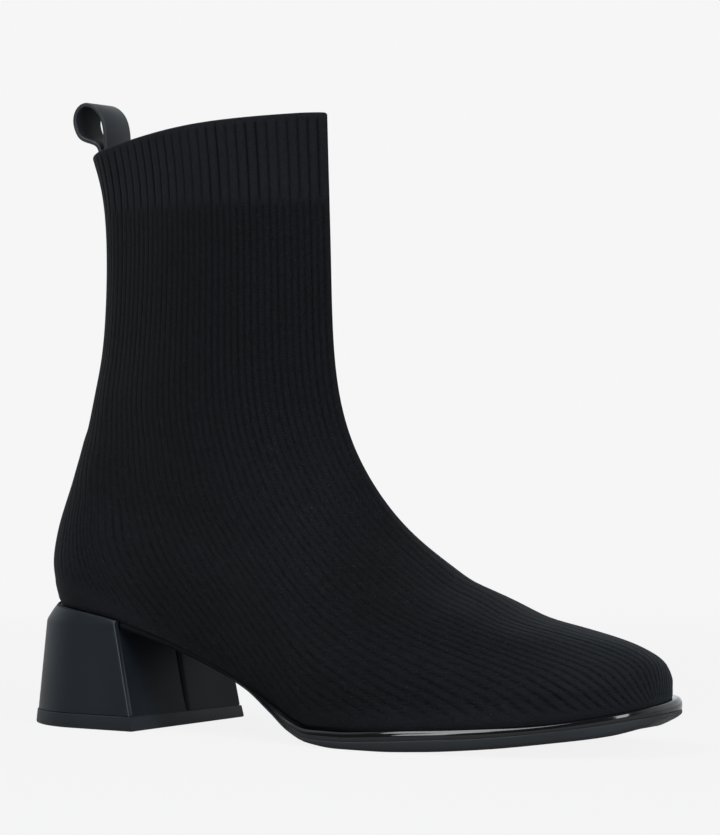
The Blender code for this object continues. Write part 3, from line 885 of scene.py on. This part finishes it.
def make_knit(material):
    """Outer face of the knit with real ribs, its rounded rim, and the hem turned down inside."""
    side = rib_places()
    place = np.concatenate((side, side[-2:0:-1]))
    levels = np.linspace(0, TOP_LEVEL - LIP / TOP_LEVEL_RISE, KNIT_ROWS)
    grid = np.stack([rib_ring(level, side) for level in levels])
    normal = grid_normals(grid)
    columns = len(place)
    run = np.linalg.norm(np.diff(grid, axis=0), axis=2)
    course = np.concatenate((np.zeros((1, columns)), np.cumsum(run, axis=0)))
    cuff_line = CUFF_LINE + CUFF_RISE * (grid[:, :, 0] - SECTIONS["back_x"][-1])
    cuff = ease(-CUFF_BLEND, CUFF_BLEND, grid[:, :, 2] - cuff_line)
    relief, rib = rib_forms(grid, place, levels, course, cuff)
    relief = soft_forms(relief, grid, place, levels, course)
    outer = grid + normal * relief[:, :, None]
    # Rounded rim, then the inside of the hem.
    up = unit(grid[-1] - grid[-3])
    turn = np.linspace(0, math.pi, LIP_STEPS + 1)[1:]
    lip = [grid[-1] + up * LIP * math.sin(t) - normal[-1] * LIP * (1 - math.cos(t)) for t in turn]
    hem = [lip[-1] - up * HEM_INSIDE * share for share in HEM_SHARES]
    hem[-1] = hem[-1] - normal[-1] * HEM_STAND
    under = outer[0] - normal[0] * TURN_UNDER * (1, 1, 0)
    rows = np.concatenate((under[None], outer, np.stack(lip + hem)))
    extra = len(lip) + len(hem)

    def with_ends(values, above):
        return np.concatenate((values[:1], values, np.broadcast_to(above, (extra, columns))))

    piece(
        "knit_upper", rows, ring_faces(len(rows), columns, True), material, "knit", ("upper",), False,
        # The turned-under row takes the groove's full painted shade.
        rib=np.concatenate((np.ones((1, columns)), rib, np.zeros((extra, columns)))),
        course=with_ends(course, course[-1] + np.arange(1, extra + 1)[:, None] * HEM_ROW),
        tone=with_ends(knit_tone(grid, place, cuff), HEM_TONE),
        across=np.concatenate((side, 2 - side[-2:0:-1])) * RIBS,
        loose=with_ends(knit_loose(grid, cuff), LOOSE))


def make_lining(material):
    """Inner face of the upper."""
    below, above = LINING_LEVELS
    levels = np.linspace(below, TOP_LEVEL - above, LINING_ROWS)
    places = np.linspace(0, 1, LINING_COLUMNS + 1)
    grid = np.stack([rib_ring(level, places) for level in levels])
    grid = grid - grid_normals(grid) * KNIT_WALL
    faces = [face[::-1] for face in ring_faces(len(grid), grid.shape[1], True)]
    piece("upper_lining", grid, faces, material, "lining", turn_out=False)


def foot_outline(offset):
    """Plan of the whole foot from the heel's back round the toe, moved out by an offset."""
    along = FEATHER_BACK + (FEATHER_TIP - FEATHER_BACK) * rounded_shares(SOLE_STATIONS)
    outer, inner = feather_sides(along)
    points = np.concatenate((outer, inner[-2:0:-1]))
    tangent = unit(np.roll(points, -1, axis=0) - np.roll(points, 1, axis=0))
    return points + offset * right_of(tangent)


def make_insole(material):
    """Sock with a rolled edge, slightly dished."""
    levels = [(0.0, 0.0)]
    for t in quarter_turn(ROUND_STEPS):
        down = INSOLE_ROUND * (1 - math.sin(t))
        levels.append((INSOLE_ROUND * (1 - math.cos(t)), INSOLE_THICK - down))
    levels += [(inset, INSOLE_THICK - down) for inset, down in INSOLE_DISH]
    rings = []
    for inset, up in levels:
        plan = foot_outline(-INSOLE_INSET - inset)
        rings.append(np.column_stack((plan, sole_top(*plan.T) + GAP + up)))
    count = len(rings[0])
    faces = ring_faces(len(rings), count, True)
    for first in (0, (len(rings) - 1) * count):
        faces += ladder_cap(first + 1, count - 1) + [(first, first + 1, first + count - 1)]
    piece("sock_insole", rings, faces, material, "lining", ("insole",))


def make_outsole(material):
    """Thin sole: its edge has an eased lip, is rounded to the tread and bevelled at the toe."""
    plan, outward = sole_outline()
    bevel = toe_share(outward)
    edge = sole_line("reach", plan[:, 0]) + EDGE_OUT * (1 - bevel)
    inset = np.full(len(plan), -PLATEAU_INSET)
    rings = []
    for t in quarter_turn(EDGE_STEPS):
        round_in = (TREAD_INSET + TOE_INSET * bevel) * (1 - math.sin(t))
        share = TREAD_ROUND * (1 - math.cos(t))

        def height(x, y, share=share):
            tread = sole_line("tread", x) + TOE_LIFT * bevel
            return tread + share * (welt_ledge(x, y) - tread)

        rings.append(sole_ring(plan, outward, edge - round_in, height))
    for back, down in LEDGE_LIP:
        lip = sole_ring(plan, outward, edge - back, welt_ledge)
        rings.append(lip - (0, 0, down))
    rings += [sole_ring(plan, outward, inset, top) for top in (welt_ledge, sole_top)]
    waist = 1 - ease(*SHOWN, plan[:, 0])
    faces = solid_faces(rings)
    piece("rubber_outsole", rings, faces, material, "sole_rubber", ("outsole",), waist=waist)


def make_bead(material):
    """Glossy half-round bead."""
    plan, outward = sole_outline()
    reach = sole_line("reach", plan[:, 0])
    tip_share = toe_share(outward)
    knots = np.linspace(0, 1, len(BEAD["out"]))
    fine = np.linspace(0, 1, BEAD_STEPS)
    inner = np.full(len(plan), GAP - PLATEAU_INSET)
    corners = [(inner, 0.0)]
    for out, tip, up in zip(*(spline(knots, column, fine) for column in BEAD.values())):
        corners.append((reach * (out + (tip - out) * tip_share), up))
    corners.append((inner, 1.0))
    sides = []
    for out, up in corners:

        def height(x, y, up=up):
            foot = welt_ledge(x, y) + GAP
            return foot + up * (sole_top(x, y) - foot)

        sides.append(sole_ring(plan, outward, out, height))
    rings = np.stack(sides, 1)
    polish = ease(*POLISHED, plan[:, 0])[:, None]
    piece("gloss_bead", rings, tube_faces(rings), material, "gloss_bead", ("welt",), gloss=polish)


def heel_plan(back, fronts, halves, rounding):
    """Heel outline from the outer front corner round the back to the inner front corner."""
    turn = quarter_turn(HEEL_STATIONS + 1)
    sides = []
    for front, half, side in zip(fronts, halves, (-1, 1)):
        along = front - (front - back) * np.sin(turn)
        sides.append(np.stack((along, side * half * end_round(along - back, rounding)), 1))
    return np.concatenate((sides[0], sides[1][-2::-1]))


def heel_row(height):
    return {name: np.interp(height, HEEL["height"], column) for name, column in HEEL.items()}


def heel_fronts(row):
    """How far forwards the outer and the inner front corner lie."""
    return np.array((row["front"], row["front"] + row["askew"]))


def heel_lean(height, across):
    """How far the line above the lift lies lower, more and more to the inner side."""
    heights = (LIFT_FOOT, LIFT_THICK - LIFT_EASE, LIFT_THICK + LEAN_HOLD, SHOULDER)
    share = np.interp(height, heights, (0.0, 1.0, 1.0, 0.0))
    return LIFT_LEAN * share * (across + HEEL["lateral"][0]) / (HEEL["lateral"][0] + HEEL["medial"][0])


def heel_ring(height, inset=0.0):
    row = heel_row(height)
    halves = np.array((row["lateral"], row["medial"]))
    plan = heel_plan(row["back"] + inset, heel_fronts(row) - inset, halves - inset, row["round"])
    return np.column_stack((plan, height - heel_lean(height, plan[:, 1])))


def seat_ring(inset=0.0):
    """Upper rim of the heel, under the edge of the knit."""
    fronts = heel_fronts(heel_row(SHOULDER))
    halves = np.array([feather_half(BREAST_TOP, side) + SEAT_SIDE - inset for side in (-1, 1)])
    rim = heel_plan(FEATHER_BACK - SEAT_LIP + inset, fronts, halves, HEEL_ROUND)
    return np.column_stack((rim, sole_top(*rim.T)))


def edge_section():
    """Cut edge at the cover's front, from its side to its recess: forwards and inwards."""
    turn = quarter_turn(ROUND_STEPS)
    outer = zip(COVER_ROUND * (np.sin(turn) - 1), COVER_ROUND * (1 - np.cos(turn)))
    face, middle = COVER_EDGE - COVER_ROUND, COVER_EDGE - COVER_MIDDLE
    inner = ((0.0, face), (-COVER_MIDDLE, middle), (-COVER_ROUND, COVER_EDGE))
    return np.array((*outer, *inner, (-RECESS - COVER_BEHIND, COVER_EDGE)))


def cut_edge(ring):
    """A ring of the cover with its rounded cut edges turned to the front at both ends."""
    section = edge_section()
    ends = []
    for point, inward in ((ring[0], 1), (ring[-1], -1)):
        ends.append(point + np.column_stack((section * (1, inward), np.zeros(len(section)))))
    return np.concatenate((ends[0][::-1], ring[1:-1], ends[1]))


def make_heel_cover(material):
    """Leather round the block: flared side, soft shoulder, slanted rim, and cut edges in front."""
    foot = LIFT_THICK + GROOVE
    low, shoulder, rim = heel_ring(foot), heel_ring(SHOULDER), seat_ring()
    start = shoulder + (low - shoulder) * SHOULDER_ROUND / (SHOULDER - foot)
    finish = shoulder + (rim - shoulder) * SHOULDER_RISE
    rows = [heel_ring(foot, COVER_TURN), heel_ring(foot, COVER_EASE), heel_ring(foot + COVER_EASE)]
    rows += [low + (start - low) * share for share in np.linspace(COVER_START, 1, COVER_ROWS)]
    for t in np.linspace(0, 1, SHOULDER_STEPS + 1)[1:]:
        rows.append((1 - t) ** 2 * start + 2 * t * (1 - t) * shoulder + t * t * finish)
    swell = unit((shoulder - shoulder.mean(0)) * (1, 1, 0)) + (0, 0, SWELL_UP)
    swell = swell * RIM_SWELL * np.linalg.norm(rim - finish, axis=1, keepdims=True)
    rows += [finish + (rim - finish) * t + swell * math.sin(math.pi * t) for t in RIM_ROWS]
    rows += [seat_ring(inset) + (0, 0, up) for inset, up in SEAT_TURN]
    rows = np.stack([cut_edge(row) for row in rows])
    faces = ring_faces(len(rows), rows.shape[1], False)
    # Only the outer cut edge gets painted highlights, and only the rim's top gets painted shade, under
    # the knit.
    worn = np.concatenate((COVER_HIGHLIGHTS[::-1], np.zeros(rows.shape[1] - len(COVER_HIGHLIGHTS))))
    shaded = np.zeros(rows.shape[:2])
    shaded[-1 - len(SEAT_TURN):] = 1.0
    piece("heel_cover", rows, faces, material, "heel_leather", ("heel_block",), False,
          worn=worn, inside=shaded)


def make_breast(name, material, edges, facing, recess, seam_round):
    """One of the two leather faces of the heel's front, with a rounded edge along the middle seam.

    A facing of 1 is the inner side, and of -1 the outer one.
    """
    heights = np.linspace(LIFT_THICK + GROOVE, SHOULDER + FRONT_TOP, FRONT_ROWS)
    share = (heights - heights[0]) / (heights[-1] - heights[0])
    outer, seam = (low + (high - low) * share for low, high in edges)
    run = np.concatenate((np.linspace(0, 1, FRONT_COLUMNS), np.ones(SEAM_STEPS)))
    round_out = np.concatenate((np.zeros(FRONT_COLUMNS), np.linspace(0, 1, SEAM_STEPS)))
    across = outer[:, None] + (seam - outer)[:, None] * run - facing * seam_round * round_out
    row = heel_row(heights)
    crossed = (across + row["lateral"][:, None]) / (row["lateral"] + row["medial"])[:, None]
    front = row["front"][:, None] + row["askew"][:, None] * crossed - recess
    along = front - SEAM_DEPTH * round_out**2
    grid = np.stack((along, across, heights[:, None] - heel_lean(heights[:, None], across)), 2)
    # Painted light towards the top and on the seam's rounded edge, both in shade, and a painted
    # highlight beside the seam.
    worn = TOP_PAINTED_LIGHT * share[:, None] ** 2 + SEAM_PAINTED_LIGHT * round_out**2
    if facing < 0:
        worn[:, FRONT_COLUMNS - 1] += EDGE_HIGHLIGHT
    faces = ring_faces(len(grid), grid.shape[1], False)
    if facing > 0:
        faces = [face[::-1] for face in faces]
    piece(name, grid, faces, material, "heel_leather", turn_out=False, worn=worn)


def make_heel_core(material):
    """Block inside the cover, seen only in the seam and in the groove above the lift."""
    foot = LIFT_THICK + GROOVE / 2
    rings = [heel_ring(LIFT_THICK - CORE_FOOT, CORE_FOOT_INSET), heel_ring(foot, CORE_FOOT_INSET)]
    rings += [heel_ring(height, CORE_INSET) for height in (foot, SHOULDER)]
    rings.append(seat_ring(CORE_INSET) - (CORE_INSET, 0, CORE_DROP))
    # The core is painted lighter, as it is seen only in shade.
    piece("heel_core", rings, solid_faces(rings), material, "heel_leather", worn=CORE_PAINTED_LIGHT)


def make_lift(material):
    """Wearing piece with eased edges."""
    levels = (
        (0.0, LIFT_FOOT), (LIFT_EASE, LIFT_EASE), (LIFT_FOOT, 0.0),
        (LIFT_THICK - LIFT_EASE, 0.0), (LIFT_THICK, LIFT_EASE))
    rings = [heel_ring(height, inset - LIFT_REACH) for height, inset in levels]
    piece("top_lift", rings, solid_faces(rings), material, "lift_rubber", ("heel_lift",))


def make_loop(material):
    """Strip with rounded edges along the loop's middle line."""
    knots = np.linspace(0, 1, len(LOOP_PATH["along"]))
    fine = np.linspace(0, 1, LOOP_STEPS)
    path = np.stack([spline(knots, column, fine) for column in LOOP_PATH.values()], 1)
    tangent = unit(np.gradient(path, axis=0))
    across = np.stack((-tangent[:, 1], tangent[:, 0]), 1)
    half, thin = LOOP_WIDTH / 2, LOOP_THICK / 2
    flat, side = half - LOOP_EDGE, thin - LOOP_EDGE
    turn = quarter_turn(LOOP_EDGE_STEPS)
    corner = [(flat + LOOP_EDGE * math.sin(t), side + LOOP_EDGE * math.cos(t)) for t in turn]
    section = []
    for right, up, order in ((1, 1, 1), (1, -1, -1), (-1, -1, 1), (-1, 1, -1)):
        section += [(right * out, up * deep) for out, deep in corner[::order]]
    rings = []
    for out, deep in section:
        x, z = (path + across * deep).T
        rings.append(np.stack((x, np.full(len(path), out), z), 1))
    rows = np.stack(rings, 1)
    out, deep = np.array(section).T
    # Edge paint on the strip's rounded edges; painted shade and a duller finish on its inner face.
    worn = LOOP_WORN * (np.abs(out) > flat + LOOP_PLAY)
    inside = LOOP_SHADE_AND_DULL * (deep < -thin + LOOP_PLAY)
    piece("leather_loop", rows, tube_faces(rows), material, "loop_leather", ("pull_loop",),
          worn=worn, inside=inside)


# Stage

PALE = 0.92  # brightness of the photograph's plain background
CAMERA_PLACE = (740.07, -937.85, 110.99)
CAMERA_TURN = 33.0
FOCAL_PIXELS = 3200.0
IMAGE_HEIGHT = 835
SENSOR = 36.0
STUDIO_FRONT, STUDIO_BEHIND = 0.10, 0.85  # brightness on the camera's side and behind the boot
STUDIO_WAY = math.radians(102)  # direction of its palest part
PALE_GREY = (PALE, PALE, PALE, 1)
LIGHT_TINT = (0.96, 0.983, 1.0)


def make_camera():
    """Level camera, fitted to the outline in the photograph."""
    lens = bpy.data.cameras.new("photo_camera")
    lens.sensor_width = SENSOR
    lens.lens = SENSOR * FOCAL_PIXELS / IMAGE_HEIGHT
    lens.clip_end = 100.0
    camera = new_object("photo_camera", lens)
    camera.location = np.array(CAMERA_PLACE) * MM + shift
    camera.rotation_euler = (math.radians(90), 0.0, math.radians(CAMERA_TURN))
    bpy.context.scene.camera = camera


def disc(name, material, height):
    """Wide flat disc of the stage, at a height in metres."""
    mesh = bpy.data.meshes.new(name)
    work = bmesh.new()
    bmesh.ops.create_circle(work, cap_ends=True, segments=96, radius=40.0)
    work.to_mesh(mesh)
    work.free()
    mesh.materials.append(material)
    made = new_object(name, mesh)
    made.location.z = height
    return made


def distance_out(tree):
    """How far a point lies from the object's middle."""
    place = add(tree, "ShaderNodeTexCoord").outputs["Object"]
    return add(tree, "ShaderNodeVectorMath", {"operation": "LENGTH"}, values=(place,)).outputs["Value"]


def make_floor():
    """Pale floor, as even as the photograph's, with a trace of shadow."""
    material, tree, shader = blank("floor_pale")
    tree.nodes.remove(shader)
    glow = add(tree, "ShaderNodeEmission", Color=PALE_GREY).outputs[0]
    matt = add(tree, "ShaderNodeBsdfDiffuse", Color=(0.6, 0.6, 0.6, 1)).outputs[0]
    far = map_range(tree, distance_out(tree), low=0.2, high=0.9, first=0.94, second=1.0)
    both = add(tree, "ShaderNodeMixShader", values=(far, matt, glow))
    fill(tree.nodes["Material Output"], Surface=both.outputs[0])
    floor = disc("floor", material, height=-0.0001)
    floor.visible_glossy = False
    floor.visible_diffuse = False


def make_sheet():
    """White sheet under the floor, which lights the boot from below and isn't seen itself."""
    material, tree, shader = blank(
        "sheet_white", Base_Color=(0.8, 0.8, 0.8, 1), Roughness=0.9, Emission_Color=(1, 1, 1, 1))
    glow = map_range(tree, distance_out(tree), low=0.3, high=1.2, first=0.12, second=0.3)
    fill(shader, Emission_Strength=glow)
    sheet = disc("white_sheet", material, height=-0.0003)
    sheet.visible_camera = False


def make_world():
    """Studio: pale behind the boot and dim on the camera's side; seen directly, the plain background."""
    world = bpy.data.worlds.new("studio")
    bpy.context.scene.world = world
    world.use_nodes = True
    tree = world.node_tree
    tree.nodes.clear()
    seen = add(tree, "ShaderNodeLightPath").outputs["Is Camera Ray"]
    way = add(tree, "ShaderNodeTexCoord").outputs["Generated"]
    palest = (math.cos(STUDIO_WAY), math.sin(STUDIO_WAY), 0.0)
    turned = add(tree, "ShaderNodeVectorMath", {"operation": "DOT_PRODUCT"}, values=(way, palest))
    up = add(tree, "ShaderNodeSeparateXYZ", Vector=way).outputs["Z"]
    more = STUDIO_BEHIND - STUDIO_FRONT
    behind = map_range(tree, turned.outputs["Value"], low=-0.5, high=0.2, first=0.0, second=more)
    below_top = map_range(tree, up, low=0.7, high=0.93, first=1.0, second=0.0)
    level = weigh(tree, behind, below_top, STUDIO_FRONT)
    fill = add(tree, "ShaderNodeBackground", Color=(0.93, 0.97, 1.0, 1), Strength=level).outputs[0]
    pale = add(tree, "ShaderNodeBackground", Color=PALE_GREY).outputs[0]
    both = add(tree, "ShaderNodeMixShader", values=(seen, fill, pale))
    add(tree, "ShaderNodeOutputWorld", Surface=both.outputs[0])


def softbox(name, place, target, size, brightness, spin=0.0, matt_only=False, gloss_only=False):
    """Area light. A brightness of 1 is the picture's white. A gloss_only light is only mirrored."""
    light = bpy.data.lights.new(name, "AREA")
    light.shape = "RECTANGLE"
    light.size, light.size_y = size
    light.energy = brightness * math.pi * size[0] * size[1]
    light.color = LIGHT_TINT
    made = new_object(name, light)
    made.location = place
    aim = (Vector(target) - Vector(place)).to_track_quat("-Z", "Y")
    made.rotation_euler = (Quaternion((0, 0, 1), math.radians(spin)) @ aim).to_euler()
    made.visible_camera = False
    made.visible_glossy = not matt_only
    made.visible_diffuse = not gloss_only


knit = knit_material()
lining = textile_material(
    "lining_black", dark=(0.006, 0.006, 0.007, 1), light=(0.02, 0.02, 0.022, 1), scale=2200.0)
leather = leather_material(
    "leather_black", dark=(0.0076, 0.0108, 0.0155, 1), light=(0.0108, 0.0148, 0.0205, 1),
    roughness=0.45, shine=0.22)
# A darker, less shiny copy of the heel's leather for the heel's front: painted shade, as the front lies
# under the sole.
shaded_front_leather = leather_material(
    "painted_shade_front_leather_black", dark=(0.0043, 0.0075, 0.0118, 1), light=(0.0060, 0.0098, 0.0146, 1),
    roughness=0.5, shine=0.12)
loop_leather = leather_material(
    "loop_leather_black", dark=(0.0102, 0.0122, 0.0150, 1), light=(0.0146, 0.0171, 0.0207, 1),
    roughness=0.42, shine=0.22)
rubber = rubber_material(
    "rubber_black", dark=(0.0118, 0.0142, 0.0174, 1), light=(0.0174, 0.0206, 0.0248, 1),
    roughness=0.6, dull_waist=True)
lift_rubber = rubber_material(
    "lift_rubber_black", dark=(0.0091, 0.0125, 0.0167, 1), light=(0.0140, 0.0184, 0.0237, 1),
    roughness=0.55, dull_waist=False)
gloss = gloss_material()

make_knit(knit)
make_lining(lining)
make_insole(lining)
make_outsole(rubber)
make_bead(gloss)
make_heel_cover(leather)
make_breast("heel_front_outer", shaded_front_leather, LATERAL_FACE, -1, RECESS, OUTER_SEAM_ROUND)
make_breast("heel_front_inner", shaded_front_leather, MEDIAL_FACE, 1, INNER_RECESS, INNER_SEAM_ROUND)
make_heel_core(leather)
make_lift(lift_rubber)
make_loop(loop_leather)

make_camera()
make_floor()
make_sheet()
make_world()
softbox("top_softbox", place=(-0.333, -0.522, 1.0), target=(-0.333, -0.522, 0.0), size=(0.55, 0.98),
        brightness=5.5, spin=-17.0)
softbox("strip_softbox", place=(1.05, -0.42, 0.62), target=(0.12, 0.0, 0.02), size=(0.3, 1.05),
        brightness=8.0)
softbox("right_fill", place=(0.95, -0.45, 0.5), target=(0.0, 0.0, 0.1), size=(0.9, 0.9),
        brightness=1.3, matt_only=True)
softbox("left_strip", place=(-0.32, -1.17, 0.65), target=(0.08, -0.04, 0.01), size=(0.24, 0.8),
        brightness=7.0, gloss_only=True)

bpy.context.scene.view_settings.view_transform = "Standard"
